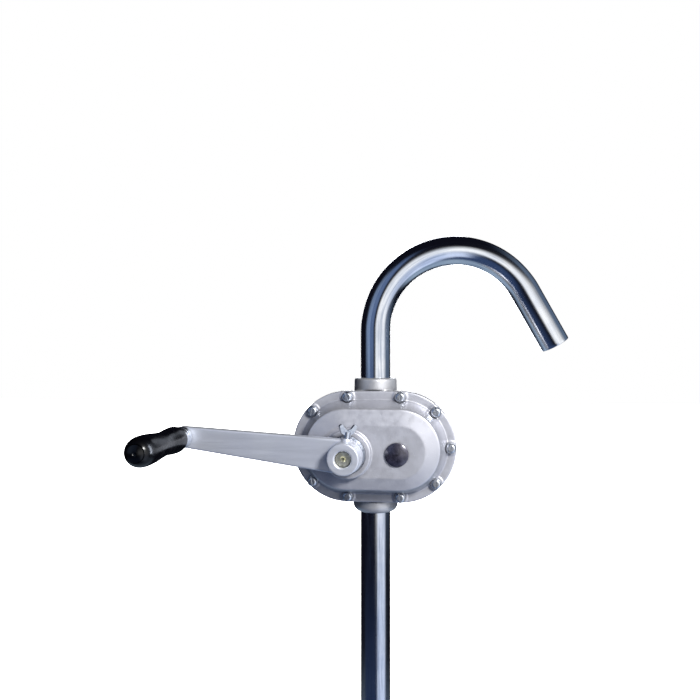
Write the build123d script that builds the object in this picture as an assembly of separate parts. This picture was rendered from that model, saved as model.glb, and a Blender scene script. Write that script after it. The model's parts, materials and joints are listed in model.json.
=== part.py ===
"""Hand-cranked drum pump: a two-gear head on a suction tube, with a bent spout and a sliding bung adaptor.

Millimetres, +Z up. The origin is on the suction tube's axis, in the plane where the bung adaptor seats.
The cover and crank face -Y, the crank lies towards -X and the spout leads towards +X.
"""

import os
from math import acos, asin, cos, pi, radians, sin, tan

from build123d import *

os.makedirs("parts", exist_ok=True)

# ---------------------------------------------------------------- driving dimensions
PUMP_HEIGHT = 330.0          # centre of the pump head above the bung seat

TUBE_RADIUS = 16.0           # 32 mm steel tube, suction and discharge
TUBE_WALL = 1.6
RUNNING_GAP = 0.05           # radial clearance of shafts in bushes

# casing and cover outline: a stadium, straight along X
END = 27.5                   # half the straight length, common to all outer outlines
FLANGE_RADIUS = 58.0
WALL_BASE_RADIUS = 49.0      # where the side wall leaves the flange
WALL_TOP_RADIUS = 41.0

# depths along -Y, measured forwards from the tube's axis
CASING_BACK = -24.0
CASING_FLANGE_BACK = 13.0
CASING_FACE = 20.5
COVER_FACE = 21.0            # the gasket fills the gap
FLANGE_FRONT = 27.5
WALL_TOP = 49.5
PAD_FRONT = 52.5
SHAFT_BOSS_FRONT = 60.0

# gears
AXIS_X = 25.0                # drive gear at -X, idler at +X
AXIS_Z = -4.0
TEETH = 8
PRESSURE_ANGLE = radians(30.0)
GEAR_TIP_RADIUS = 29.9
GEAR_ROOT_RADIUS = 19.2
TOOTH_BACKLASH = 0.35        # thinning of each tooth at the pitch circle
CHAMBER_RADIUS = 30.25
CHAMBER_FRONT = 43.5
CHAMBER_BACK = -17.0
GEAR_END_GAP = 0.3
GEAR_FRONT = CHAMBER_FRONT - GEAR_END_GAP
GEAR_BACK = CHAMBER_BACK + GEAR_END_GAP
IDLER_BUSH_LENGTH = 20.0

SHAFT_RADIUS = 8.0
BUSH_RADIUS = 11.0
IDLER_BUSH_RADIUS = 10.5
BUSH_FRONT = 50.0
BUSH_BACK = CHAMBER_BACK - 12
SEAL_RADIUS = 13.5
SEAL_FRONT = 56.5
RETAINER_RADIUS = 19.0
AXLE_FRONT = 47.5
CAP_NECK_RADIUS = 10.5
CAP_RADIUS = 12.0
PAD_RADIUS = 26.5            # flat pad of the cover
PAD_END = 27.0
PAD_Z = -1.8

# screws round the flange
SCREW_RADIUS = 3.0
SCREW_CIRCLE = 52.0
SCREW_ANGLES = (-90.0, -45.0, 0.0, 45.0, 90.0)
SCREW_BOSS_RADIUS = 7.8
SCREW_BOSS_FRONT = 28.1

# crank
CRANK_ANGLE = 6.1           # rise of the arm above level, in degrees
CRANK_REACH = 165.0
HUB_FRONT = 90.0
HUB_BACK = 62.3
ARM_FRONT = 75.0
ARM_BACK = 64.5
GRIP_BACK = 82.5
GRIP_FRONT = 186.5
SPINDLE_RADIUS = 5.0
SHAFT_FLAT = 7.0             # the crank's wing screw bears on this flat
WING_LAND = 18.6
WING_DEPTH = 72.0

# discharge spout
SPOUT_RISE = 121.0           # height of the bend's start above the pump centre
SPOUT_BEND_RADIUS = 88.0
SPOUT_TURN = 150.0
SPOUT_STRAIGHT = 67.0
SPOUT_SWING = 9.5            # the bend's plane stands this far behind the casing's plane, in degrees

# ports and tube sockets
PORT_RADIUS = 12.5
UPPER_BOSS_TOP = 71.0
LOWER_BOSS_BOTTOM = -72.0
SOCKET_DEPTH = 26.0

# suction tube
COUPLING_CENTRE = -470.0
COUPLING_HALF = 22.5
COUPLING_RADIUS = 19.5
TUBE_FOOT = -872.0
STRAINER_TOP = -852.0
STRAINER_BOTTOM = -905.0
STRAINER_RADIUS = 19.5

# bung adaptor, G2 thread
THREAD_RADIUS = 29.8
THREAD_LENGTH = 20.0
WASHER_BORE_RADIUS = 30.7
HEX_ACROSS_FLATS = 70.0
HEX_BOTTOM = 2.0             # the sealing washer fills the gap under the hexagon
HEX_TOP = 14.0
COLLAR_RADIUS = 24.0
COLLAR_TOP = 35.0
ADAPTOR_BORE_RADIUS = 16.3
CLAMP_HEIGHT = 24.0
CLAMP_BOSS_FRONT = 30.0
CLAMP_BOSS_RADIUS = 8.0
CLAMP_RADIUS = 4.0


# ---------------------------------------------------------------- helpers
def front(distance):
    """Plane facing -Y, that far in front of the tube's axis; its sketches use X and Z."""
    return Plane.XZ.offset(distance)


def stadium(end, radius, x=0.0, z=0.0):
    return Pos(x, z) * SlotCenterToCenter(2 * end, 2 * radius)


def prism(sketch, start, stop):
    """A sketch pushed from depth start to depth stop, both measured towards -Y."""
    return extrude(front(start) * sketch, stop - start)


def rod(radius, start, stop, x=0.0, z=0.0):
    """A cylinder along Y between two depths."""
    return prism(Pos(x, z) * Circle(radius), start, stop)


def post(radius, low, high, x=0.0, y=0.0):
    """A cylinder along Z between two heights."""
    return extrude(Plane.XY.offset(low) * (Pos(x, y) * Circle(radius)), high - low)


def ring(outer, inner, start, stop, x=0.0, z=0.0):
    return rod(outer, start, stop, x, z) - rod(inner, start - 1, stop + 1, x, z)


def between(start_face, stop_face):
    """A straight-sided solid between two parallel outlines."""
    return loft([start_face, stop_face], ruled=True)


def screw_places():
    """(x, z) of each of the ten flange screws."""
    for side in (-1, 1):
        for angle in SCREW_ANGLES:
            reach = SCREW_CIRCLE * cos(radians(angle))
            yield side * (END + reach), SCREW_CIRCLE * sin(radians(angle))


def edges_at(part, axis, value, tolerance=0.01):
    return part.edges().filter_by_position(axis, value - tolerance, value + tolerance)


def polar(radius, angle):
    return (radius * cos(angle), radius * sin(angle))


# ---------------------------------------------------------------- castings
def chamber(start, stop):
    """The two meeting gear bores."""
    drive = rod(CHAMBER_RADIUS, start, stop, -AXIS_X, AXIS_Z)
    return drive + rod(CHAMBER_RADIUS, start, stop, AXIS_X, AXIS_Z)


def rear_casing():
    flange = prism(stadium(END, FLANGE_RADIUS), CASING_FLANGE_BACK, CASING_FACE)
    wall = between(
        front(CASING_FLANGE_BACK) * stadium(END, WALL_BASE_RADIUS),
        front(CASING_BACK) * stadium(END, WALL_TOP_RADIUS + 4),
    )
    wall = fillet(edges_at(wall, Axis.Y, -CASING_BACK), 5)
    bearing_boss = prism(stadium(AXIS_X, 17, z=AXIS_Z), CASING_BACK - 9, CASING_BACK + 2)
    bearing_boss = fillet(edges_at(bearing_boss, Axis.Y, -CASING_BACK + 9), 2.5)
    upper = between(Plane.XY.offset(30) * Circle(23.8), Plane.XY.offset(UPPER_BOSS_TOP) * Circle(22.6))
    upper = fillet(edges_at(upper, Axis.Z, UPPER_BOSS_TOP), 2.6)
    lower = post(24.0, LOWER_BOSS_BOTTOM, -30.0)
    lower = fillet(edges_at(lower, Axis.Z, LOWER_BOSS_BOTTOM), 7.8)
    bosses = upper + lower - prism(stadium(END, FLANGE_RADIUS + 0.2), CASING_FACE, CASING_FACE + 10)
    body = flange + wall + bearing_boss + bosses
    for x, z in screw_places():
        body += rod(5.6, CASING_FLANGE_BACK - 5, CASING_FLANGE_BACK + 1, x, z)
    body -= chamber(CHAMBER_BACK, CASING_FACE + 1)
    body -= post(PORT_RADIUS, LOWER_BOSS_BOTTOM - 1, UPPER_BOSS_TOP + 1)
    body -= post(TUBE_RADIUS, UPPER_BOSS_TOP - SOCKET_DEPTH, UPPER_BOSS_TOP + 1)
    body -= post(TUBE_RADIUS, LOWER_BOSS_BOTTOM - 1, LOWER_BOSS_BOTTOM + SOCKET_DEPTH)
    body -= rod(BUSH_RADIUS, BUSH_BACK, CHAMBER_BACK + 1, -AXIS_X, AXIS_Z)
    body -= rod(SHAFT_RADIUS, BUSH_BACK, CHAMBER_BACK + 1, AXIS_X, AXIS_Z)
    for x, z in screw_places():
        body -= rod(SCREW_RADIUS, CASING_FLANGE_BACK - 6, CASING_FACE + 1, x, z)
    return body


def front_cover():
    flange = prism(stadium(END, FLANGE_RADIUS), COVER_FACE, FLANGE_FRONT)
    flange = fillet(edges_at(flange, Axis.Y, -FLANGE_FRONT), 1.2)
    wall = between(
        front(FLANGE_FRONT - 1) * stadium(END, WALL_BASE_RADIUS),
        front(WALL_TOP) * stadium(END, WALL_TOP_RADIUS),
    )
    shoulder = between(
        front(WALL_TOP) * stadium(END, WALL_TOP_RADIUS),
        front(PAD_FRONT) * stadium(PAD_END, PAD_RADIUS, z=PAD_Z),
    )
    dome = wall + shoulder
    dome = fillet(edges_at(dome, Axis.Y, -WALL_TOP), 2.2)
    shaft_boss = rod(24.5, WALL_TOP, SHAFT_BOSS_FRONT, -AXIS_X, AXIS_Z)
    shaft_boss = fillet(edges_at(shaft_boss, Axis.Y, -SHAFT_BOSS_FRONT), 1.0)
    cover = flange + dome + shaft_boss
    for x, z in screw_places():
        pad = rod(SCREW_BOSS_RADIUS, COVER_FACE, SCREW_BOSS_FRONT, x, z) & prism(
            stadium(END, FLANGE_RADIUS - 0.6), COVER_FACE, SCREW_BOSS_FRONT
        )
        cover += fillet(edges_at(pad, Axis.Y, -SCREW_BOSS_FRONT), 0.6)
    cover -= chamber(COVER_FACE - 1, CHAMBER_FRONT)
    cover -= rod(BUSH_RADIUS, CHAMBER_FRONT - 1, BUSH_FRONT, -AXIS_X, AXIS_Z)
    cover -= rod(SEAL_RADIUS, BUSH_FRONT, SEAL_FRONT, -AXIS_X, AXIS_Z)
    cover -= rod(RETAINER_RADIUS, SEAL_FRONT, SHAFT_BOSS_FRONT + 1, -AXIS_X, AXIS_Z)
    cover -= rod(SHAFT_RADIUS, CHAMBER_FRONT - 1, AXLE_FRONT, AXIS_X, AXIS_Z)
    cover -= rod(CAP_NECK_RADIUS, AXLE_FRONT, PAD_FRONT + 1, AXIS_X, AXIS_Z)
    for x, z in screw_places():
        cover -= rod(SCREW_RADIUS + 0.4, COVER_FACE - 1, SCREW_BOSS_FRONT + 1, x, z)
        cover -= rod(6.3, SCREW_BOSS_FRONT, SCREW_BOSS_FRONT + 12, x, z)
    return cover


def cover_gasket():
    sheet = prism(stadium(END, FLANGE_RADIUS - 0.5), CASING_FACE, COVER_FACE)
    sheet -= prism(stadium(AXIS_X, CHAMBER_RADIUS + 1.5, z=AXIS_Z), CASING_FACE - 1, COVER_FACE + 1)
    for x, z in screw_places():
        sheet -= rod(SCREW_RADIUS + 0.4, CASING_FACE - 1, COVER_FACE + 1, x, z)
    return sheet


def cover_screws():
    """Ten slotted pan-head screws."""
    head_height = 3.8
    screws = []
    for index, (x, z) in enumerate(screw_places()):
        head = rod(5.2, SCREW_BOSS_FRONT + 1.0, SCREW_BOSS_FRONT + 1.0 + head_height, x, z)
        head = fillet(edges_at(head, Axis.Y, -(SCREW_BOSS_FRONT + 1.0 + head_height)), 2.4)
        slot = Pos(x, z) * Rot(0, 0, 90 + 37 * index % 50 - 25) * Rectangle(12, 1.3)
        head -= prism(slot, SCREW_BOSS_FRONT + 3.2, SCREW_BOSS_FRONT + 6)
        screws.append(head + rod(SCREW_RADIUS, CASING_FLANGE_BACK - 3, SCREW_BOSS_FRONT + 1.5, x, z))
    return Compound(screws)


def cover_washers():
    """One plain washer under each cover screw."""
    return Compound([ring(5.6, SCREW_RADIUS, SCREW_BOSS_FRONT, SCREW_BOSS_FRONT + 1.0, x, z)
                     for x, z in screw_places()])


# ---------------------------------------------------------------- gears and shafts
def gear_sketch(phase):
    """Involute gear outline; one tooth's centre lies at the angle phase, in radians."""
    pitch = AXIS_X
    base = pitch * cos(PRESSURE_ANGLE)

    def involute(angle):
        return tan(angle) - angle

    def half_angle(radius):
        spread = involute(PRESSURE_ANGLE) - involute(acos(min(1.0, base / radius)))
        return pi / (2 * TEETH) - TOOTH_BACKLASH / (2 * pitch) + spread

    middle = (base + GEAR_TIP_RADIUS) / 2
    lines = []
    step = 2 * pi / TEETH
    for tooth in range(TEETH):
        centre = phase + tooth * step
        root_up = polar(GEAR_ROOT_RADIUS, centre - half_angle(base))
        flank_up = [polar(r, centre - half_angle(r)) for r in (base, middle, GEAR_TIP_RADIUS)]
        flank_down = [polar(r, centre + half_angle(r)) for r in (GEAR_TIP_RADIUS, middle, base)]
        root_down = polar(GEAR_ROOT_RADIUS, centre + half_angle(base))
        next_root = polar(GEAR_ROOT_RADIUS, centre + step - half_angle(base))
        lines += [
            Line(root_up, flank_up[0]),
            ThreePointArc(*flank_up),
            ThreePointArc(flank_up[-1], polar(GEAR_TIP_RADIUS, centre), flank_down[0]),
            ThreePointArc(*flank_down),
            Line(flank_down[-1], root_down),
            ThreePointArc(root_down, polar(GEAR_ROOT_RADIUS, centre + step / 2), next_root),
        ]
    return make_face(Wire(lines))


def gear(x, phase, bore):
    blank = prism(Pos(x, AXIS_Z) * gear_sketch(phase), GEAR_BACK, GEAR_FRONT)
    return blank - rod(bore, CHAMBER_BACK - 1, CHAMBER_FRONT + 1, x, AXIS_Z)


def key_solid():
    """Parallel key between drive shaft and drive gear."""
    return prism(Pos(-AXIS_X, AXIS_Z + SHAFT_RADIUS) * Rectangle(5, 5), -8.0, 36.0)


def drive_shaft():
    shaft = rod(SHAFT_RADIUS, BUSH_BACK + 1, HUB_FRONT - 4, -AXIS_X, AXIS_Z)
    shaft = chamfer(edges_at(shaft, Axis.Y, -(HUB_FRONT - 4)), 0.8)
    flat = at_rest(Pos(0, -(HUB_BACK + HUB_FRONT) / 2, SHAFT_FLAT + 5) * Box(20, HUB_FRONT - HUB_BACK, 10))
    centre = at_rest(Pos(0, 5.6 - HUB_FRONT, 0) * Rot(90, 0, 0) * Cone(0.3, 2.8, 3.2))
    return shaft - key_solid() - flat - centre


def drive_bush(start, stop):
    return ring(BUSH_RADIUS, SHAFT_RADIUS + RUNNING_GAP, start, stop, -AXIS_X, AXIS_Z)


def idler_bush(start):
    """Bush pressed into the idler gear; it runs on the fixed axle."""
    stop = start + IDLER_BUSH_LENGTH
    return ring(IDLER_BUSH_RADIUS, SHAFT_RADIUS + RUNNING_GAP, start, stop, AXIS_X, AXIS_Z)


def seal_retainer():
    return ring(RETAINER_RADIUS, SHAFT_RADIUS + 1.2, SEAL_FRONT, SEAL_FRONT + 1.5, -AXIS_X, AXIS_Z)


def shaft_seal():
    body = ring(SEAL_RADIUS, SHAFT_RADIUS + RUNNING_GAP, BUSH_FRONT, SEAL_FRONT, -AXIS_X, AXIS_Z)
    return body - ring(11.6, 9.6, BUSH_FRONT + 2.5, SEAL_FRONT + 1, -AXIS_X, AXIS_Z)


def idler_cap():
    """Dark screwed cap over the idler axle."""
    cap = rod(CAP_RADIUS, PAD_FRONT, PAD_FRONT + 4.4, AXIS_X, AXIS_Z)
    cap = fillet(edges_at(cap, Axis.Y, -(PAD_FRONT + 4.4)), 2.6)
    return cap + rod(CAP_NECK_RADIUS, AXLE_FRONT, PAD_FRONT, AXIS_X, AXIS_Z)


# ---------------------------------------------------------------- crank, built level and then turned to rest
def at_rest(part):
    return Pos(-AXIS_X, 0, AXIS_Z) * Rot(0, CRANK_ANGLE, 0) * part


def crank_arm():
    """Cast arm with a hub for the shaft and an eye for the grip's spindle."""
    hub_eye, grip_eye = 17.4, 10.6
    lean = asin((hub_eye - grip_eye) / CRANK_REACH)
    outline = Polygon(
        (hub_eye * -sin(lean), hub_eye * cos(lean)),
        (-CRANK_REACH - grip_eye * sin(lean), grip_eye * cos(lean)),
        (-CRANK_REACH - grip_eye * sin(lean), -grip_eye * cos(lean)),
        (hub_eye * -sin(lean), -hub_eye * cos(lean)),
        align=None,
    )
    plate = prism(outline + Circle(hub_eye) + Pos(-CRANK_REACH, 0) * Circle(grip_eye), ARM_BACK, ARM_FRONT)
    plate = fillet(edges_at(plate, Axis.Y, -ARM_FRONT) + edges_at(plate, Axis.Y, -ARM_BACK), 1.6)
    nose = rod(15.8, ARM_FRONT - 3, HUB_FRONT)
    nose = fillet(edges_at(nose, Axis.Y, -HUB_FRONT), 1.0)
    eye_boss = rod(9.6, ARM_FRONT - 2, ARM_FRONT + 0.8, -CRANK_REACH)
    arm = plate + nose + rod(16.0, HUB_BACK, ARM_BACK + 2) + eye_boss
    arm += Pos(0, -WING_DEPTH, 0) * post(5.6, 10, WING_LAND)
    arm -= rod(SHAFT_RADIUS, HUB_BACK - 1, HUB_FRONT + 1)
    arm = chamfer(edges_at(arm, Axis.Y, -HUB_FRONT).sort_by(SortBy.LENGTH)[0], 0.8)
    arm -= rod(SPINDLE_RADIUS, ARM_BACK - 1, ARM_FRONT + 3, -CRANK_REACH)
    arm -= Pos(0, -WING_DEPTH, 0) * post(SCREW_RADIUS, 4, WING_LAND + 1)
    return at_rest(arm)


def wing_screw_solid(shank, length, span, turn):
    """Wing screw pointing down, its shoulder at z 0."""
    neck = post(shank + 0.9, 0, 6.0)
    wing_outline = Polygon((0, 1.0), (span * 0.34, 4.6), (span * 0.5, 11.6), (span * 0.36, 13.6),
                           (span * 0.18, 9.0), (0, 7.4), align=None)
    wing = extrude(Plane.XZ * wing_outline, 1.3, both=True)
    wing = fillet(wing.edges().filter_by(Axis.Y), 1.2)
    wings = wing + Rot(0, 0, 180) * wing
    return Rot(0, 0, turn) * (neck + wings + post(shank, -length, 0.5))


def crank_wing_screw():
    seat = WING_LAND + 0.3
    screw = wing_screw_solid(SCREW_RADIUS - RUNNING_GAP, seat - SHAFT_FLAT - 0.3, 21.0, 40.0)
    return at_rest(Pos(0, -WING_DEPTH, seat) * screw)


def grip_spindle():
    """Shouldered pin riveted into the arm, with a head that keeps the grip on."""
    pin = rod(SPINDLE_RADIUS, ARM_BACK - 2.5, GRIP_FRONT - 9.5, -CRANK_REACH)
    shoulder = rod(10.8, ARM_FRONT + 0.8, GRIP_BACK - 0.3, -CRANK_REACH)
    shoulder = fillet(edges_at(shoulder, Axis.Y, -(GRIP_BACK - 0.3)), 0.5)
    rivet = rod(8.0, ARM_BACK - 2.5, ARM_BACK, -CRANK_REACH)
    rivet = fillet(edges_at(rivet, Axis.Y, -(ARM_BACK - 2.5)), 1.2)
    head = rod(7.6, GRIP_FRONT - 11.5, GRIP_FRONT - 9.0, -CRANK_REACH)
    return at_rest(pin + shoulder + rivet + head)


def grip_solid():
    """Turned grip: a bulge by the arm, a waist and a full palm end."""
    side_end = (13.5, GRIP_FRONT - 12)
    bulge, waist, palm = (13.1, GRIP_BACK + 16), (11.5, GRIP_BACK + 43), (13.8, GRIP_FRONT - 22)
    side = Spline([(10.6, GRIP_BACK), bulge, waist, palm, side_end], tangents=[(0.7, 0.9), (-0.16, 1.0)])
    end = ThreePointArc(side_end, (10.0, GRIP_FRONT - 4.2), (3.0, GRIP_FRONT))
    axis = Polyline((3.0, GRIP_FRONT), (0, GRIP_FRONT), (0, GRIP_BACK), (10.6, GRIP_BACK))
    section = Plane.XZ * make_face(Wire([side, end] + axis.edges()))
    return Pos(-CRANK_REACH, 0, 0) * Rot(90, 0, 0) * revolve(section, Axis.Z)


def grip_sleeve():
    sleeve = grip_solid() - rod(SPINDLE_RADIUS + RUNNING_GAP, GRIP_BACK - 1, GRIP_FRONT - 12, -CRANK_REACH)
    return at_rest(sleeve - rod(8.0, GRIP_FRONT - 12, GRIP_FRONT + 1, -CRANK_REACH))


def grip_cap():
    """Push-in cap that closes the grip's end, with a small dimple."""
    cap = rod(8.0, GRIP_FRONT - 8.5, GRIP_FRONT, -CRANK_REACH) & grip_solid()
    return at_rest(cap - rod(1.6, GRIP_FRONT - 1.5, GRIP_FRONT + 1, -CRANK_REACH))


# ---------------------------------------------------------------- tubes
def discharge_spout():
    turn = radians(SPOUT_TURN)
    bend_end = (SPOUT_BEND_RADIUS * (1 - cos(turn)), SPOUT_RISE + SPOUT_BEND_RADIUS * sin(turn))
    start = UPPER_BOSS_TOP - SOCKET_DEPTH
    path = Wire([
        Edge.make_line((0, 0, start), (0, 0, SPOUT_RISE)),
        Edge.make_three_point_arc(
            (0, 0, SPOUT_RISE),
            (SPOUT_BEND_RADIUS * (1 - cos(turn / 2)), 0, SPOUT_RISE + SPOUT_BEND_RADIUS * sin(turn / 2)),
            (bend_end[0], 0, bend_end[1]),
        ),
        Edge.make_line(
            (bend_end[0], 0, bend_end[1]),
            (bend_end[0] + SPOUT_STRAIGHT * sin(turn), 0, bend_end[1] + SPOUT_STRAIGHT * cos(turn)),
        ),
    ])
    section = Plane((0, 0, start), z_dir=(0, 0, 1)) * (Circle(TUBE_RADIUS) - Circle(TUBE_RADIUS - TUBE_WALL))
    return Rot(0, 0, SPOUT_SWING) * sweep(section, path)


def tube(low, high):
    return post(TUBE_RADIUS, low, high) - post(TUBE_RADIUS - TUBE_WALL, low - 1, high + 1)


def suction_coupling():
    low, high = COUPLING_CENTRE - COUPLING_HALF, COUPLING_CENTRE + COUPLING_HALF
    sleeve = post(COUPLING_RADIUS, low, high)
    sleeve = chamfer(edges_at(sleeve, Axis.Z, low) + edges_at(sleeve, Axis.Z, high), 1.2)
    return sleeve - post(TUBE_RADIUS, low - 1, high + 1)


def foot_strainer():
    """Slotted cap on the tube's foot."""
    floor = 2.5
    cage = post(STRAINER_RADIUS, STRAINER_BOTTOM, STRAINER_TOP)
    cage = chamfer(edges_at(cage, Axis.Z, STRAINER_BOTTOM), 1.5)
    cage -= post(TUBE_RADIUS, TUBE_FOOT, STRAINER_TOP + 1)
    cage -= post(TUBE_RADIUS - TUBE_WALL, STRAINER_BOTTOM + floor, TUBE_FOOT + 1)
    slot_count = 8
    for index in range(slot_count):
        slot = Pos(STRAINER_RADIUS, 0, (STRAINER_BOTTOM + TUBE_FOOT) / 2 - 1) * Box(16, 4.5, 20)
        cage -= Rot(0, 0, index * 360 / slot_count) * slot
    return cage


# ---------------------------------------------------------------- bung adaptor
def bung_adaptor():
    thread = post(THREAD_RADIUS, -THREAD_LENGTH, HEX_BOTTOM - 0.6)
    thread = chamfer(edges_at(thread, Axis.Z, -THREAD_LENGTH), 1.4)
    thread += post(THREAD_RADIUS - 0.8, 0, HEX_BOTTOM + 0.5)
    outline = RegularPolygon(HEX_ACROSS_FLATS / 2, 6, major_radius=False)
    hexagon = extrude(Plane.XY.offset(HEX_BOTTOM) * outline, HEX_TOP - HEX_BOTTOM)
    crown = post(HEX_ACROSS_FLATS / 2 + 4.2, HEX_BOTTOM, HEX_TOP)
    crown = chamfer(edges_at(crown, Axis.Z, HEX_TOP), 2.4)
    collar = post(COLLAR_RADIUS, HEX_TOP - 1, COLLAR_TOP)
    collar = fillet(edges_at(collar, Axis.Z, COLLAR_TOP), 2.5)
    clamp_boss = rod(CLAMP_BOSS_RADIUS, 18.0, CLAMP_BOSS_FRONT, 0, CLAMP_HEIGHT)
    body = thread + (hexagon & crown) + collar + clamp_boss
    body -= post(ADAPTOR_BORE_RADIUS, -THREAD_LENGTH - 1, COLLAR_TOP + 1)
    body -= post(18.6, 4.0, 7.4)
    body -= rod(CLAMP_RADIUS, 10.0, CLAMP_BOSS_FRONT + 1, 0, CLAMP_HEIGHT)
    return body


def adaptor_ring():
    """O-ring that seals the adaptor on the tube."""
    return Pos(0, 0, 5.7) * Torus(17.4, 1.2)


def clamp_screw():
    seat = CLAMP_BOSS_FRONT + 2.5
    screw = wing_screw_solid(CLAMP_RADIUS - RUNNING_GAP, seat - TUBE_RADIUS - 0.3, 30.0, 20.0)
    return Pos(0, -seat, CLAMP_HEIGHT) * Rot(90, 0, 0) * screw


# ---------------------------------------------------------------- assembly
def pump_parts():
    """Everything that slides with the suction tube, keyed by node name, about the pump head's centre."""
    return {
        "rear_casing": rear_casing(),
        "front_cover": front_cover(),
        "cover_gasket": cover_gasket(),
        "cover_screws": cover_screws(),
        "cover_washers": cover_washers(),
        "drive_bush_front": drive_bush(CHAMBER_FRONT, BUSH_FRONT),
        "drive_bush_rear": drive_bush(BUSH_BACK, CHAMBER_BACK),
        "shaft_seal": shaft_seal(),
        "seal_retainer": seal_retainer(),
        "idler_axle": rod(SHAFT_RADIUS, BUSH_BACK, AXLE_FRONT, AXIS_X, AXIS_Z),
        "idler_cap": idler_cap(),
        "discharge_spout": discharge_spout(),
        "suction_tube_upper": tube(COUPLING_CENTRE, LOWER_BOSS_BOTTOM + SOCKET_DEPTH),
        "suction_coupling": suction_coupling(),
        "suction_tube_lower": tube(TUBE_FOOT, COUPLING_CENTRE),
        "foot_strainer": foot_strainer(),
        "drive_shaft": drive_shaft(),
        "drive_gear": gear(-AXIS_X, 0.0, SHAFT_RADIUS) - key_solid(),
        "gear_key": key_solid(),
        "crank_arm": crank_arm(),
        "grip_spindle": grip_spindle(),
        "crank_wing_screw": crank_wing_screw(),
        "grip_sleeve": grip_sleeve(),
        "grip_cap": grip_cap(),
        "idler_gear": gear(AXIS_X, pi / TEETH, IDLER_BUSH_RADIUS),
        "idler_bush_front": idler_bush(GEAR_FRONT - IDLER_BUSH_LENGTH),
        "idler_bush_rear": idler_bush(GEAR_BACK),
    }


def adaptor_parts():
    """The bung adaptor and what stays with it, about the bung seat."""
    return {
        "bung_adaptor": bung_adaptor(),
        "adaptor_ring": adaptor_ring(),
        "bung_washer": post(35.0, 0.0, HEX_BOTTOM) - post(WASHER_BORE_RADIUS, -1.0, HEX_BOTTOM + 1),
        "clamp_screw": clamp_screw(),
    }


def main():
    for name, part in pump_parts().items():
        export_step(Pos(0, 0, PUMP_HEIGHT) * part, f"parts/{name}.step")
    for name, part in adaptor_parts().items():
        export_step(part, f"parts/{name}.step")


main()
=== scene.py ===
"""Looks of the hand-cranked drum pump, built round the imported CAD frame. Metres throughout."""

import json
import math

import bmesh
import bpy
from mathutils import Matrix, Vector

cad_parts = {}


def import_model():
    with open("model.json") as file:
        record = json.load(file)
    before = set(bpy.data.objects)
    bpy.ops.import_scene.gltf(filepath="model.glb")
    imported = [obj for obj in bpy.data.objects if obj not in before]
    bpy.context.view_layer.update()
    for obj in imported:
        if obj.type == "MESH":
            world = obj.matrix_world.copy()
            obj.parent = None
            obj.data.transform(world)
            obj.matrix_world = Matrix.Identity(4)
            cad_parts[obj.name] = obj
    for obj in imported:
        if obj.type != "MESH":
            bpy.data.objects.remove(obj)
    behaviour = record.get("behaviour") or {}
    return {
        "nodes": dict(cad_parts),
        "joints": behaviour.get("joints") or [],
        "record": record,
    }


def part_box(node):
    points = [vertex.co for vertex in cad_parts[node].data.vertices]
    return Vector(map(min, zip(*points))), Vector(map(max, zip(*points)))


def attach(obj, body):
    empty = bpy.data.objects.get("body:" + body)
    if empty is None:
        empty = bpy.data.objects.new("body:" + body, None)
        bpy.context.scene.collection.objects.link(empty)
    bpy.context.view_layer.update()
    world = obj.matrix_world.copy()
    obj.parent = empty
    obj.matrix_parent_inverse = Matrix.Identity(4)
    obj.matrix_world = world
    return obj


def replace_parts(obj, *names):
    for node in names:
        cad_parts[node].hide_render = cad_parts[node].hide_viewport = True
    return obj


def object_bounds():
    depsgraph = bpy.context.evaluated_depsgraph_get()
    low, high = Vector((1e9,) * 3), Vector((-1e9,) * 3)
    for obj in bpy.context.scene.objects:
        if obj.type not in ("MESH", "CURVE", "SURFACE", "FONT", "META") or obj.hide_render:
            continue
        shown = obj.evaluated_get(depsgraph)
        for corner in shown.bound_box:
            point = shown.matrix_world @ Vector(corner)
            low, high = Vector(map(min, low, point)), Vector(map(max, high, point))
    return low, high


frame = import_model()
cad_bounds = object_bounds()

MM = 0.001
JOINTS = {joint["name"]: joint for joint in frame["joints"]}

# ---------------------------------------------------------------- driving dimensions
TUBE_RADIUS = 16.0 * MM
TUBE_WALL = 1.6 * MM
SPOUT_RISE = 121.0 * MM          # from the pump's centre to the start of the bend
SPOUT_BEND_RADIUS = 88.0 * MM
SPOUT_TURN = math.radians(150.0)
SPOUT_STRAIGHT = 67.0 * MM
SPOUT_SWING = math.radians(9.5)
SPOUT_OVALITY = 0.025            # the bend flattens the tube by this share
PUMP_Z = Vector(JOINTS["crank_turn"]["pos_m"]).z + 4.0 * MM

PIPE_PITCH = 2.309 * MM          # 2-inch pipe thread of the bung, 11 to the inch
THREAD_DEPTH = 0.61              # as a share of the pitch
BUNG_THREAD_RADIUS = 29.8 * MM
BUNG_THREAD_FOOT = -21.2 * MM    # heights against the bung seat
BUNG_THREAD_HEAD = -1.6 * MM
GRIP_BACK = 82.5 * MM            # both ends of the grip, measured forward from the tube's axis
GRIP_FRONT = 186.5 * MM
GRIP_BULGE_RADIUS = 13.1 * MM    # near the arm
GRIP_WAIST_RADIUS = 11.5 * MM
GRIP_PALM_RADIUS = 13.8 * MM
GRIP_BORE = 5.05 * MM
GRIP_CAP_RADIUS = 8.0 * MM
GRIP_CAP_DEPTH = 8.5 * MM
FERRULE_FRONT = 87.6 * MM
FERRULE_RADIUS = 10.6 * MM
STRAIGHTENED = "straightened"    # the bent tube's own coordinates
STUDIO_LEVEL = 1.20              # brightness of the studio as the object sees it
MATT_SHARE = 0.45                # part of it that lights matt surfaces


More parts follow.
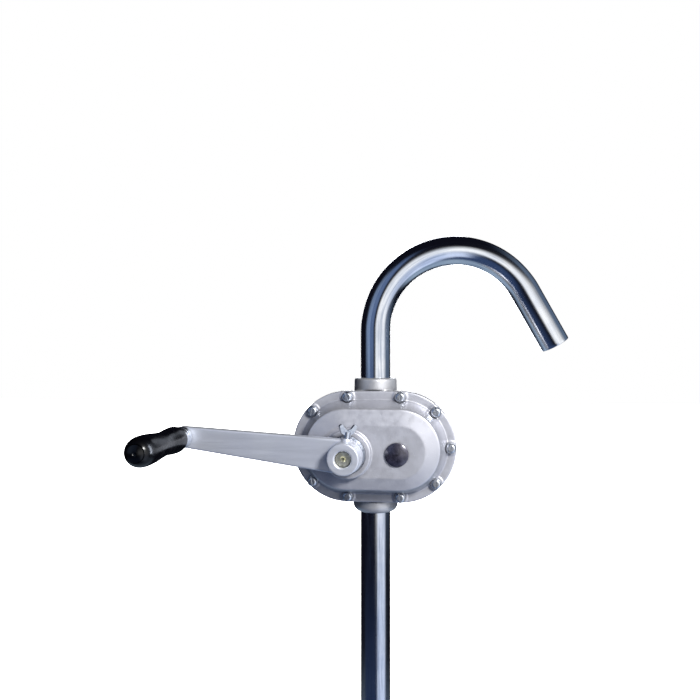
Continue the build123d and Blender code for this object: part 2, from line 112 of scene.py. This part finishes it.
# ---------------------------------------------------------------- material helpers
class Graph:
    """A node tree with short calls for the nodes that materials and the studio share."""

    def __init__(self, tree):
        self.tree = tree
        self.coordinates = tree.nodes.new("ShaderNodeTexCoord")

    def link(self, source, target):
        self.tree.links.new(source, target)

    def feed(self, value, socket):
        """value is a number, a colour or another node's socket."""
        if isinstance(value, bpy.types.NodeSocket):
            self.link(value, socket)
        else:
            socket.default_value = (*value, 1.0) if isinstance(value, tuple) else value

    def maths(self, operation, first, second=0.0):
        node = self.tree.nodes.new("ShaderNodeMath")
        node.operation = operation
        self.feed(first, node.inputs[0])
        self.feed(second, node.inputs[1])
        return node.outputs["Value"]

    def spread(self, value, low, high, start=0.3, stop=0.7):
        """Maps a value from start..stop to low..high."""
        node = self.tree.nodes.new("ShaderNodeMapRange")
        node.inputs["From Min"].default_value = start
        node.inputs["From Max"].default_value = stop
        node.inputs["To Min"].default_value = low
        node.inputs["To Max"].default_value = high
        node.interpolation_type = "SMOOTHSTEP"
        self.link(value, node.inputs["Value"])
        return node.outputs["Result"]

    def mix(self, factor, first, second, blend="MIX"):
        """first and second are colours or sockets."""
        node = self.tree.nodes.new("ShaderNodeMix")
        node.data_type = "RGBA"
        node.blend_type = blend
        self.feed(factor, node.inputs["Factor"])
        self.feed(first, node.inputs["A"])
        self.feed(second, node.inputs["B"])
        return node.outputs["Result"]


class Nodes(Graph):
    """A material's node tree."""

    def __init__(self, name):
        self.material = bpy.data.materials.new(name)
        self.material.use_nodes = True
        super().__init__(self.material.node_tree)
        self.shader = self.tree.nodes["Principled BSDF"]

    def position(self, stretch=(1, 1, 1), space="Object"):
        """Object coordinates, or those of the bent tube laid out straight."""
        mapping = self.tree.nodes.new("ShaderNodeMapping")
        mapping.inputs["Scale"].default_value = stretch
        if space == STRAIGHTENED:
            attribute = self.tree.nodes.new("ShaderNodeAttribute")
            attribute.attribute_name = STRAIGHTENED
            self.link(attribute.outputs["Vector"], mapping.inputs["Vector"])
        else:
            self.link(self.coordinates.outputs[space], mapping.inputs["Vector"])
        return mapping.outputs["Vector"]

    def noise(self, scale, detail=3.0, rough=0.55, stretch=(1, 1, 1), space="Object"):
        texture = self.tree.nodes.new("ShaderNodeTexNoise")
        texture.inputs["Scale"].default_value = scale
        texture.inputs["Detail"].default_value = detail
        texture.inputs["Roughness"].default_value = rough
        self.link(self.position(stretch, space), texture.inputs["Vector"])
        return texture.outputs["Fac"]

    def pits(self, scale):
        texture = self.tree.nodes.new("ShaderNodeTexVoronoi")
        texture.inputs["Scale"].default_value = scale
        self.link(self.position(), texture.inputs["Vector"])
        return texture.outputs["Distance"]

    def edges(self, low=0.52, high=0.62):
        """1 on worn outer edges, 0 elsewhere."""
        geometry = self.tree.nodes.new("ShaderNodeNewGeometry")
        return self.spread(geometry.outputs["Pointiness"], 0, 1, low, high)

    def crevices(self, reach):
        """0 in corners and gaps closer than reach, 1 in the open."""
        node = self.tree.nodes.new("ShaderNodeAmbientOcclusion")
        node.samples = 6
        node.inputs["Distance"].default_value = reach
        return node.outputs["AO"]

    def bump(self, height, distance, strength=1.0, under=None):
        node = self.tree.nodes.new("ShaderNodeBump")
        node.inputs["Distance"].default_value = distance
        node.inputs["Strength"].default_value = strength
        self.link(height, node.inputs["Height"])
        if under is not None:
            self.link(under, node.inputs["Normal"])
        return node.outputs["Normal"]

    def finish(self, colour=None, roughness=None, normal=None, **fixed):
        for value, socket in ((colour, "Base Color"), (roughness, "Roughness"), (normal, "Normal")):
            if value is not None:
                self.link(value, self.shader.inputs[socket])
        for socket, value in fixed.items():
            self.shader.inputs[socket.replace("_", " ")].default_value = value
        return self.material


def cast_aluminium(name, light, dark, roughness, grain):
    """Cast aluminium: cloudy tone, sandy skin with pinholes, rubbed edges, and painted shade darkening the
    corners.
    """
    n = Nodes(name)
    cloud = n.spread(n.noise(28, 4), 0, 1)
    tone = n.mix(cloud, light, dark)
    stain = n.spread(n.noise(9, 5, 0.7), 0, 0.45, 0.52, 0.75)
    tone = n.mix(stain, tone, tuple(c * 0.82 for c in dark))
    speck = n.spread(n.noise(900, 2), 0, 1, 0.35, 0.75)
    tone = n.mix(speck, tone, tuple(c * 0.93 for c in light))
    tone = n.mix(n.edges(), tone, tuple(min(c * 1.12, 0.92) for c in light))
    # Painted shade: ambient occlusion darkens the colour in corners, gaps and recesses, where shade falls.
    painted_corner_shade = n.spread(n.crevices(14 * MM), 0.9, 0, 0.3, 0.9)
    tone = n.mix(painted_corner_shade, tone, tuple(c * 0.30 for c in dark))
    skin = n.bump(n.noise(1100, 3), grain, 0.5)
    holes = n.bump(n.spread(n.pits(260), 0, 1, 0.05, 0.22), 0.12 * MM, 0.35, skin)
    wave = n.bump(n.noise(70, 2), 0.25 * MM, 0.35, holes)
    matt = n.spread(n.noise(160, 4), roughness - 0.05, roughness + 0.09)
    return n.finish(tone, matt, wave, Metallic=0.55)


def linished_aluminium(name, light, dark, along):
    """Cast and then belt-polished lengthwise: fine lines along one direction."""
    n = Nodes(name)
    lines = n.noise(420, 3, 0.7, along)
    cloud = n.spread(n.noise(22, 4), 0, 1)
    tone = n.mix(cloud, light, dark)
    tone = n.mix(n.spread(lines, 0, 0.18), tone, tuple(c * 0.8 for c in dark))
    tone = n.mix(n.edges(), tone, tuple(min(c * 1.1, 0.92) for c in light))
    # Painted shade: ambient occlusion darkens the colour in corners and gaps, where shade falls.
    painted_corner_shade = n.spread(n.crevices(5 * MM), 1, 0, 0.25, 0.8)
    tone = n.mix(painted_corner_shade, tone, tuple(c * 0.45 for c in dark))
    brushed = n.bump(lines, 0.05 * MM, 0.35)
    wave = n.bump(n.noise(45, 2), 0.3 * MM, 0.3, brushed)
    return n.finish(tone, n.spread(lines, 0.34, 0.48), wave, Metallic=0.55)


def bright_zinc(name, stretch=(1, 1, 1), space="Object", roughness=0.13, streak=60):
    """Bright zinc plate over drawn steel: clean, slightly blue, with faint streaks along the metal."""
    n = Nodes(name)
    streaks = n.noise(streak, 4, 0.6, stretch, space)
    cloud = n.noise(35, 3)
    tone = n.mix(n.spread(cloud, 0, 1), (0.82, 0.84, 0.87), (0.68, 0.72, 0.79))
    tone = n.mix(n.spread(streaks, 0, 0.85, 0.45, 0.75), tone, (0.36, 0.41, 0.51))
    fleck = n.spread(n.noise(streak * 14, 2, 0.5, stretch, space), 0, 0.5, 0.55, 0.72)
    tone = n.mix(fleck, tone, (0.45, 0.48, 0.55))
    matt = n.spread(streaks, roughness - 0.03, roughness + 0.11)
    drawn = n.bump(streaks, 0.02 * MM, 0.12)
    wave = n.bump(n.noise(26, 2), 0.15 * MM, 0.4, drawn)
    return n.finish(tone, matt, wave, Metallic=1.0)


def turned_metal(name, light, dark, roughness):
    """Plain turned or machined metal with fine cutter marks."""
    n = Nodes(name)
    marks = n.noise(1500, 2, 0.6, (1, 0.08, 1))
    tone = n.mix(n.spread(n.noise(150, 4, 0.6), 0, 1, 0.4, 0.62), light, dark)
    # Painted shade: ambient occlusion darkens the colour in corners and recesses, such as inside the bore at
    # the shaft's end.
    painted_corner_shade = n.spread(n.crevices(3.5 * MM), 0.8, 0, 0.2, 0.8)
    tone = n.mix(painted_corner_shade, tone, tuple(c * 0.25 for c in dark))
    matt = n.spread(marks, roughness - 0.06, roughness + 0.08)
    return n.finish(tone, matt, n.bump(marks, 0.03 * MM, 0.4), Metallic=1.0)


def moulded_plastic(name, light, dark, roughness, coat):
    """Glossy moulded grip: faint orange peel, dust and fine handling scratches in the gloss."""
    n = Nodes(name)
    tone = n.mix(n.spread(n.noise(60, 4), 0, 1), light, dark)
    dust = n.spread(n.noise(1400, 2), 0, 0.5, 0.66, 0.8)
    tone = n.mix(dust, tone, tuple(c * 2.0 for c in light))
    peel = n.bump(n.noise(260, 2), 0.04 * MM, 0.25)
    matt = n.spread(n.noise(90, 5, 0.7), roughness - 0.05, roughness + 0.12)
    return n.finish(tone, matt, peel, Coat_Weight=coat, Coat_Roughness=0.15, Specular_IOR_Level=0.28)


def rubber(name):
    n = Nodes(name)
    tone = n.mix(n.spread(n.noise(200, 4), 0, 1), (0.018, 0.018, 0.019), (0.045, 0.044, 0.043))
    matt = n.spread(n.noise(500, 3), 0.55, 0.8)
    return n.finish(tone, matt, n.bump(n.noise(900, 3), 0.08 * MM, 0.5))


def fibre_sheet(name):
    n = Nodes(name)
    tone = n.mix(n.spread(n.noise(700, 4, 0.7), 0, 1), (0.20, 0.185, 0.16), (0.10, 0.09, 0.08))
    matt = n.spread(n.noise(300, 3), 0.75, 0.95)
    return n.finish(tone, matt, n.bump(n.noise(1200, 3), 0.06 * MM, 0.6))


def painted_cap(name):
    n = Nodes(name)
    tone = n.mix(n.spread(n.noise(240, 4), 0, 1), (0.022, 0.020, 0.036), (0.075, 0.070, 0.110))
    matt = n.spread(n.noise(300, 4), 0.22, 0.42)
    skin = n.bump(n.noise(800, 3), 0.05 * MM, 0.4)
    return n.finish(tone, matt, skin, Metallic=0.4, Coat_Weight=1.0, Coat_Roughness=0.2)


MATERIALS = {
    "cast_casing": cast_aluminium(
        "casing_aluminium", (0.70, 0.70, 0.72), (0.60, 0.60, 0.63), 0.42, 0.10 * MM),
    "cast_cover": cast_aluminium(
        "cover_aluminium", (0.73, 0.735, 0.79), (0.65, 0.655, 0.72), 0.40, 0.07 * MM),
    "cast_crank": linished_aluminium(
        "crank_aluminium", (0.87, 0.90, 0.98), (0.81, 0.84, 0.94), (0.05, 1, 1)),
    "cast_adaptor": cast_aluminium(
        "adaptor_aluminium", (0.66, 0.66, 0.69), (0.56, 0.56, 0.60), 0.42, 0.10 * MM),
    "gasket_paper": fibre_sheet("gasket_fibre"),
    "zinc_steel": bright_zinc("zinc_fastener", roughness=0.27, streak=400),
    "shaft_steel": turned_metal("yellow_passivated_steel", (0.90, 0.90, 0.78), (0.60, 0.59, 0.46), 0.40),
    "bronze": turned_metal("sintered_bronze", (0.60, 0.42, 0.20), (0.46, 0.31, 0.15), 0.45),
    "seal_rubber": rubber("nitrile_rubber"),
    "dark_cap": painted_cap("gunmetal_cap"),
    "tube_zinc": bright_zinc("zinc_tube", (6, 6, 0.25)),
    "coupling_zinc": bright_zinc("zinc_coupling", (1, 1, 6), roughness=0.22, streak=90),
    "strainer_plastic": moulded_plastic(
        "strainer_moulding", (0.02, 0.02, 0.021), (0.035, 0.035, 0.036), 0.5, 0.0),
    "gear_iron": turned_metal("machined_iron", (0.34, 0.34, 0.35), (0.24, 0.24, 0.25), 0.42),
    "grip_black": moulded_plastic(
        "grip_plastic", (0.0008, 0.0008, 0.0013), (0.0016, 0.0016, 0.0026), 0.24, 0.16),
}
SPOUT_ZINC = bright_zinc("zinc_spout", (6, 6, 0.25), STRAIGHTENED)


# ---------------------------------------------------------------- mesh helpers
def piece(name, mesh, body, slot, material=None):
    """Links a mesh as a piece of the object, riding on a body."""
    obj = bpy.data.objects.new(name, mesh)
    bpy.context.scene.collection.objects.link(obj)
    mesh.materials.clear()
    mesh.materials.append(material or MATERIALS[slot])
    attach(obj, body)
    return obj


def mesh_of(name, points, faces, smooth=True):
    mesh = bpy.data.meshes.new(name)
    mesh.from_pydata(points, [], faces)
    mesh.update()
    if smooth:
        mesh.shade_smooth()
    return mesh


def grid_faces(rings, around):
    """Quads between rings of points that each go once round."""
    faces = []
    for row in range(rings - 1):
        for column in range(around):
            after = (column + 1) % around
            low, high = row * around, (row + 1) * around
            faces.append((low + column, low + after, high + after, high + column))
    return faces


def lathe(name, profile, place, around=96):
    """Turns a closed outline of (radius, y) points about the axis through place, along Y."""
    points = []
    for radius, y in profile + profile[:1]:
        for i in range(around):
            angle = 2 * math.pi * i / around
            points.append((place[0] + radius * math.cos(angle), y, place[2] + radius * math.sin(angle)))
    mesh = mesh_of(name, points, grid_faces(len(profile) + 1, around))
    return welded(mesh)


def welded(mesh, angle=35.0):
    """Joins doubled points and faces outwards, smooth except across edges sharper than angle."""
    form = bmesh.new()
    form.from_mesh(mesh)
    bmesh.ops.remove_doubles(form, verts=form.verts, dist=0.002 * MM)
    bmesh.ops.dissolve_degenerate(form, edges=form.edges, dist=0.001 * MM)
    bmesh.ops.recalc_face_normals(form, faces=form.faces)
    form.to_mesh(mesh)
    form.free()
    mesh.shade_smooth()
    mesh.set_sharp_from_angle(angle=math.radians(angle))
    return mesh


def thread_cutter(crest, pitch, start, stop, around):
    """The winding V that a thread takes off an upright rod of radius crest, from height start to stop."""
    depth = THREAD_DEPTH * pitch
    outer = crest + 0.12 * pitch
    narrow, wide = 0.09 * pitch, 0.46 * pitch
    turns = (stop - start) / pitch
    count = round(turns * around)
    points = []
    for i in range(count + 1):
        angle = 2 * math.pi * i / around
        along = start + pitch * i / around
        fade = min(1.0, 2.0 * i / around, 2.0 * (count - i) / around)
        root = crest - depth * max(fade, 0.03)
        for radius, half in ((root, narrow), (outer, wide), (outer, -wide), (root, -narrow)):
            height = along + half * max(fade, 0.3)
            points.append((radius * math.cos(angle), radius * math.sin(angle), height))
    faces = grid_faces(count + 1, 4)
    last = count * 4
    faces += [(3, 2, 1, 0), (last, last + 1, last + 2, last + 3)]
    return welded(mesh_of("thread_cutter", points, faces))


def recut(node, cutter, voxel, rounds):
    """A copy of a casting's mesh with its corners rounded and a thread cut in it."""
    source = frame["nodes"][node]
    work = bpy.data.objects.new(node + "_work", source.data.copy())
    work.matrix_world = source.matrix_world
    helper = bpy.data.objects.new("thread_cutter", cutter)
    for obj in (work, helper):
        bpy.context.scene.collection.objects.link(obj)
    round_corners(work, voxel, rounds)
    cut = work.modifiers.new("thread", "BOOLEAN")
    cut.operation = "DIFFERENCE"
    cut.solver = "EXACT"
    cut.object = helper
    bpy.context.view_layer.update()
    evaluated = work.evaluated_get(bpy.context.evaluated_depsgraph_get())
    mesh = bpy.data.meshes.new_from_object(evaluated)
    for obj in (helper, work):
        bpy.data.objects.remove(obj)
    return welded(mesh)


def spout_path(s):
    """(point, tangent) of the spout's centre line, s metres up from the pump's centre, in the row frame."""
    bend = SPOUT_BEND_RADIUS * SPOUT_TURN
    if s <= SPOUT_RISE:
        x, z, angle = 0.0, s, 0.0
    elif s <= SPOUT_RISE + bend:
        angle = (s - SPOUT_RISE) / SPOUT_BEND_RADIUS
        x = SPOUT_BEND_RADIUS * (1 - math.cos(angle))
        z = SPOUT_RISE + SPOUT_BEND_RADIUS * math.sin(angle)
    else:
        angle = SPOUT_TURN
        rest = s - SPOUT_RISE - bend
        x = SPOUT_BEND_RADIUS * (1 - math.cos(angle)) + rest * math.sin(angle)
        z = SPOUT_RISE + SPOUT_BEND_RADIUS * math.sin(angle) + rest * math.cos(angle)
    swing = Matrix.Rotation(SPOUT_SWING, 3, "Z")
    point = swing @ Vector((x, 0, z)) + Vector((0, 0, PUMP_Z))
    return point, swing @ Vector((math.sin(angle), 0, math.cos(angle)))


def spout():
    """Bent discharge tube with a real wall, a rounded cut lip and a slightly flattened bend."""
    start = 46.0 * MM
    bend_end = SPOUT_RISE + SPOUT_BEND_RADIUS * SPOUT_TURN
    stop = bend_end + SPOUT_STRAIGHT
    lip = 0.5 * MM
    step = 3.0 * MM
    around = 96
    count = round((stop - start) / step)
    rows = [start + (stop - lip - start) * i / count for i in range(count + 1)]
    profile = [(s, TUBE_RADIUS) for s in rows]
    corner = (0.5, 1.0, math.pi / 2)
    profile += [(stop - lip + lip * math.sin(a), TUBE_RADIUS - lip * (1 - math.cos(a))) for a in corner]
    inner = TUBE_RADIUS - TUBE_WALL
    profile += [(stop, inner + lip * 0.6), (stop - lip * 0.6, inner)]
    profile += [(s, inner) for s in reversed(rows)] + [(start, TUBE_RADIUS)]
    side = Matrix.Rotation(SPOUT_SWING, 3, "Z") @ Vector((0, 1, 0))
    points, straight = [], []
    for s, radius in profile:
        centre, tangent = spout_path(s)
        outward = side.cross(tangent)
        near = min(max((s - SPOUT_RISE) / (20 * MM), 0), max((bend_end - s) / (20 * MM), 0), 1)
        flat = SPOUT_OVALITY * ease(near)
        for i in range(around):
            angle = 2 * math.pi * i / around
            offset = outward * math.cos(angle) * (1 - flat) + side * math.sin(angle)
            points.append(centre + offset * radius)
            straight.append(Vector((radius * math.cos(angle), radius * math.sin(angle), s)))
    mesh = mesh_of("spout_tube", points, grid_faces(len(profile), around))
    layer = mesh.attributes.new(STRAIGHTENED, "FLOAT_VECTOR", "POINT")
    layer.data.foreach_set("vector", [value for point in straight for value in point])
    obj = piece("spout_tube", mesh, "pump", "tube_zinc", SPOUT_ZINC)
    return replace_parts(obj, "discharge_spout")


def round_corners(obj, voxel, rounds):
    """Modifiers that round a casting's corners, inside and out, as a mould does."""
    remesh = obj.modifiers.new("cast_skin", "REMESH")
    remesh.mode = "VOXEL"
    remesh.voxel_size = voxel
    remesh.use_smooth_shade = True
    smooth = obj.modifiers.new("cast_radii", "SMOOTH")
    smooth.factor = 0.5
    smooth.iterations = rounds


def ease(value):
    return value * value * (3 - 2 * value)


def grip_radius(y):
    """Outer radius of the grip, y metres forward from the tube's axis."""
    bulge_y, waist_y, palm_y = GRIP_BACK + 16 * MM, GRIP_BACK + 43 * MM, GRIP_FRONT - 22 * MM
    stations = [(bulge_y, GRIP_BULGE_RADIUS), (waist_y, GRIP_WAIST_RADIUS), (palm_y, GRIP_PALM_RADIUS)]
    if y <= bulge_y:
        share = max(1 - (y - FERRULE_FRONT) / (11 * MM), 0)
        return GRIP_BULGE_RADIUS - 3.1 * MM * share ** 2.4
    if y >= palm_y:
        share = (y - palm_y) / (GRIP_FRONT - palm_y)
        return GRIP_PALM_RADIUS * max(1 - share ** 3.8, 0) ** 0.5
    for (start, first), (stop, second) in zip(stations, stations[1:]):
        if y <= stop:
            return first + (second - first) * ease((y - start) / (stop - start))


def grip():
    """Moulded grip with two turned rings by the arm, and the round cap pushed into its palm end."""
    place = Vector(JOINTS["grip_turn"]["pos_m"])
    rings = [FERRULE_FRONT + 3.2 * MM, FERRULE_FRONT + 5.8 * MM]
    near_end = (GRIP_FRONT - i * 0.02 * MM for i in range(600))
    cap_edge = next(y for y in near_end if grip_radius(y) >= GRIP_CAP_RADIUS)
    step = 0.35 * MM
    count = round((cap_edge - FERRULE_FRONT) / step)
    sleeve = []
    for i in range(count + 1):
        y = FERRULE_FRONT + (cap_edge - FERRULE_FRONT) * i / count
        groove = sum(0.40 * MM * math.exp(-((y - ring) / (0.45 * MM)) ** 2) for ring in rings)
        sleeve.append((grip_radius(y) - groove - 0.5 * MM * (i == 0), -y))
    floor_y = GRIP_FRONT - 12 * MM
    sleeve[-1] = (GRIP_CAP_RADIUS + 0.45 * MM, -cap_edge + 0.1 * MM)
    sleeve += [(GRIP_CAP_RADIUS + 0.12 * MM, -cap_edge + 0.8 * MM), (GRIP_CAP_RADIUS + 0.12 * MM, -floor_y)]
    sleeve += [(GRIP_BORE, -floor_y), (GRIP_BORE, -FERRULE_FRONT)]
    obj = piece("grip_moulding", lathe("grip_moulding", sleeve, place), "grip", "grip_black")
    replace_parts(obj, "grip_sleeve")

    edge = 0.6 * MM
    band = [(FERRULE_RADIUS - edge, -GRIP_BACK), (FERRULE_RADIUS, -GRIP_BACK - edge)]
    band += [(FERRULE_RADIUS, -FERRULE_FRONT + edge), (FERRULE_RADIUS - edge, -FERRULE_FRONT)]
    band += [(GRIP_BORE, -FERRULE_FRONT), (GRIP_BORE, -GRIP_BACK)]
    piece("grip_ferrule", lathe("grip_ferrule", band, place), "grip", "zinc_steel")

    crown = []
    for i in range(24):
        radius = GRIP_CAP_RADIUS * (1 - i / 24)
        y = GRIP_FRONT - (GRIP_FRONT - cap_edge) * (radius / GRIP_CAP_RADIUS) ** 2
        dimple = 1.1 * MM * math.exp(-(radius / (1.5 * MM)) ** 4)
        crown.append((radius - 0.25 * MM * (i == 0), -(y - dimple - 0.15 * MM * (i == 0))))
    crown += [(0.0, -(GRIP_FRONT - 1.1 * MM)), (0.0, -(GRIP_FRONT - GRIP_CAP_DEPTH))]
    crown += [(GRIP_CAP_RADIUS, -(GRIP_FRONT - GRIP_CAP_DEPTH)), (GRIP_CAP_RADIUS, -(cap_edge - 0.7 * MM))]
    obj = piece("grip_end_cap", lathe("grip_end_cap", crown, place), "grip", "grip_black")
    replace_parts(obj, "grip_cap")


def axle_cap():
    """Domed cap over the idler's axle, with a thin rim."""
    base = -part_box("idler_cap")[0][1]
    neck = -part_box("idler_cap")[1][1]
    height, rim, radius, neck_radius = 4.4 * MM, 2.3 * MM, 12.0 * MM, 9.0 * MM
    foot = base - height
    outline = [(0.0, -base)]
    for i in range(1, 25):
        share = i / 24
        outline.append((share * (radius - 0.7 * MM), -(base - (height - rim) * share ** 2.4)))
    outline += [(radius - 0.2 * MM, -(foot + rim - 0.3 * MM)), (radius, -(foot + rim - 0.9 * MM))]
    outline += [(radius, -foot), (neck_radius, -foot), (neck_radius, -neck), (0.0, -neck)]
    place = Vector(JOINTS["idler_turn"]["pos_m"])
    obj = piece("axle_cap", lathe("axle_cap", outline, place), "pump", "dark_cap")
    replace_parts(obj, "idler_cap")


def adaptor():
    """The bung adaptor with the pipe thread that screws into the drum."""
    thread = thread_cutter(BUNG_THREAD_RADIUS, PIPE_PITCH, BUNG_THREAD_FOOT, BUNG_THREAD_HEAD, 128)
    mesh = recut("bung_adaptor", thread, 0.7 * MM, 3)
    obj = piece("bung_adaptor_body", mesh, "adaptor", "cast_adaptor")
    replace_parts(obj, "bung_adaptor")


# ---------------------------------------------------------------- carried-over nodes
def dress_cad_nodes():
    slots = {part["node"]: part["material_slot"] for part in frame["record"]["subparts"]}
    for name, obj in frame["nodes"].items():
        obj.data.materials.clear()
        obj.data.materials.append(MATERIALS[slots[name]])


dress_cad_nodes()
skins = (("front_cover", 0.6 * MM, 6), ("rear_casing", 0.8 * MM, 5), ("crank_arm", 0.5 * MM, 16))
for casting, voxel, rounds in skins:
    round_corners(frame["nodes"][casting], voxel, rounds)
spout()
grip()
axle_cap()
adaptor()


# ---------------------------------------------------------------- stage
# What bright metal mirrors. Each patch: azimuth in degrees, 0 in front of the pump and positive to its
# right, as the four corners of a soft-edged plateau; elevation the same way; colour.
STUDIO = {
    "front_screen": ((-4, 12, 66, 94), (-20, -3, 3, 34), (1.00, 1.00, 1.00)),
    "low_strip": ((12, 24, 72, 96), (-64, -50, -20, -3), (0.58, 0.64, 0.77)),
    "left_strip": ((-82, -60, -48, -34), (-10, 0, 30, 55), (0.20, 0.27, 0.40)),
    "blue_shade": ((-50, -36, -20, -3), (-10, 0, 40, 65), (0.10, 0.15, 0.27)),
    "right_wall": ((64, 90, 118, 150), (-20, 0, 30, 60), (0.10, 0.14, 0.20)),
}
# The table: its first four corners are the share that a direction points away from the camera.
TABLE = {
    "near_table": ((-1.2, -1.1, -0.30, 0.12), (-99, -90, -42, -14), (0.030, 0.055, 0.125)),
    "far_table": ((-0.30, 0.12, 0.62, 0.86), (-99, -90, -38, -24), (0.28, 0.36, 0.46)),
}
PUMP_CENTRE = Vector((0, 0, PUMP_Z))
GRIP_PLACE = Vector(JOINTS["grip_turn"]["pos_m"])
# Each light: its place, the point it faces, its width and height, power in watts, colour.
LIGHTS = {
    "key": (PUMP_CENTRE + Vector((0.95, -1.25, 0.92)), PUMP_CENTRE, (0.40, 0.40), 34, (1, 1, 1)),
    "back": (PUMP_CENTRE + Vector((-0.1, 1.9, 0.1)), PUMP_CENTRE - Vector((0, 0, 0.15)), (0.7, 1.9), 26,
             (0.93, 0.96, 1.0)),
    "floor_wash": ((0, 0, 6), (0, 0, 0), (30, 30), 14000, (1, 1, 1)),
    "side_glint": (PUMP_CENTRE + Vector((0.94, 0.22, 0.30)), GRIP_PLACE, (0.36, 1.1), 20, (0.80, 0.86, 1.0)),
    "back_glint": (PUMP_CENTRE + Vector((0.11, 1.0, 0.36)), GRIP_PLACE, (0.36, 0.5), 0.5, (0.80, 0.86, 1.0)),
}
CAMERA_PLACE = PUMP_CENTRE + Vector((53.3, -721.6, 100.9)) * MM
CAMERA_TURN = 0.112              # radians to the left
CAMERA_LENS = 34.34


def world():
    """The studio: mirrored patches on black, while the camera sees plain white."""
    made = bpy.data.worlds.new("studio")
    made.use_nodes = True
    g = Graph(made.node_tree)
    split = g.tree.nodes.new("ShaderNodeSeparateXYZ")
    g.link(g.coordinates.outputs["Generated"], split.inputs["Vector"])
    right, back, up = (split.outputs[axis] for axis in "XYZ")
    turn = g.maths("ARCTAN2", right, g.maths("MULTIPLY", back, -1.0))
    azimuth = g.maths("MULTIPLY", turn, 180 / math.pi)
    elevation = g.maths("MULTIPLY", g.maths("ARCSINE", up), 180 / math.pi)

    def plateau(value, corners):
        rise = g.spread(value, 0, 1, corners[0], corners[1])
        return g.maths("MULTIPLY", rise, g.spread(value, 1, 0, corners[2], corners[3]))

    light = (0.004, 0.004, 0.008)
    for value, patches in ((azimuth, STUDIO), (back, TABLE)):
        for across, upward, colour in patches.values():
            inside = g.maths("MULTIPLY", plateau(value, across), plateau(elevation, upward))
            light = g.mix(inside, light, colour, "ADD")
    path = g.tree.nodes.new("ShaderNodeLightPath")
    seen, matt = path.outputs["Is Camera Ray"], path.outputs["Is Diffuse Ray"]
    background = g.tree.nodes["Background"]
    g.link(g.mix(seen, light, (1, 1, 1)), background.inputs["Color"])
    level = g.spread(matt, STUDIO_LEVEL, STUDIO_LEVEL * MATT_SHARE, 0, 1)
    g.link(g.mix(seen, level, (1, 1, 1)), background.inputs["Strength"])
    bpy.context.scene.world = made


def area_light(name, lit):
    """One of LIGHTS, falling only on the objects in lit."""
    place, target, size, power, colour = LIGHTS[name]
    data = bpy.data.lights.new(name, "AREA")
    data.shape = "RECTANGLE"
    data.size, data.size_y = size
    data.energy = power
    data.color = colour
    light = bpy.data.objects.new(name, data)
    bpy.context.scene.collection.objects.link(light)
    light.location = place
    light.rotation_euler = (Vector(target) - Vector(place)).to_track_quat("-Z", "Y").to_euler()
    light.visible_camera = False
    group = bpy.data.collections.new(name + "_lit")
    for obj in lit:
        group.objects.link(obj)
    light.light_linking.receiver_collection = group


def floor():
    low = cad_bounds[0][2] - 0.5 * MM
    size = 12.0
    corners = [(-size, -size, low), (size, -size, low), (size, size, low), (-size, size, low)]
    mesh = mesh_of("floor", corners, [(0, 1, 2, 3)])
    obj = bpy.data.objects.new("floor", mesh)
    bpy.context.scene.collection.objects.link(obj)
    n = Nodes("floor_paper")
    tone = n.mix(n.spread(n.noise(1.5, 3), 0, 1), (0.93, 0.93, 0.93), (0.90, 0.90, 0.90))
    mesh.materials.append(n.finish(tone, Roughness=0.9))
    obj.visible_glossy = False
    obj.visible_diffuse = False
    return obj


def pieces(*starts):
    """Every visible mesh of the object whose name has one of these starts."""
    return [obj for obj in bpy.context.scene.objects
            if obj.type == "MESH" and obj.name.startswith(starts) and obj.name != "floor"
            and obj.data.materials and not obj.hide_render]


def lights(floor_sheet):
    """Bright tubes mirror the studio alone, and what faces the camera gets no light from behind."""
    every = pieces("")
    tubes = pieces("spout", "suction_tube")
    faces_front = pieces("grip", "front_cover", "crank_", "cover_", "clamp_screw")
    grips = pieces("grip_moulding", "grip_end_cap")
    area_light("key", [obj for obj in every if obj not in tubes])
    area_light("back", [obj for obj in every if obj not in faces_front])
    area_light("floor_wash", [floor_sheet])
    area_light("side_glint", grips)
    area_light("back_glint", grips)


def camera():
    data = bpy.data.cameras.new("camera")
    data.lens = CAMERA_LENS
    data.sensor_width = 36.0
    obj = bpy.data.objects.new("camera", data)
    bpy.context.scene.collection.objects.link(obj)
    obj.location = CAMERA_PLACE
    obj.rotation_euler = (math.pi / 2, 0, CAMERA_TURN)
    bpy.context.scene.camera = obj


bpy.context.scene.view_settings.view_transform = "Standard"
world()
floor_sheet = floor()
camera()
lights(floor_sheet)
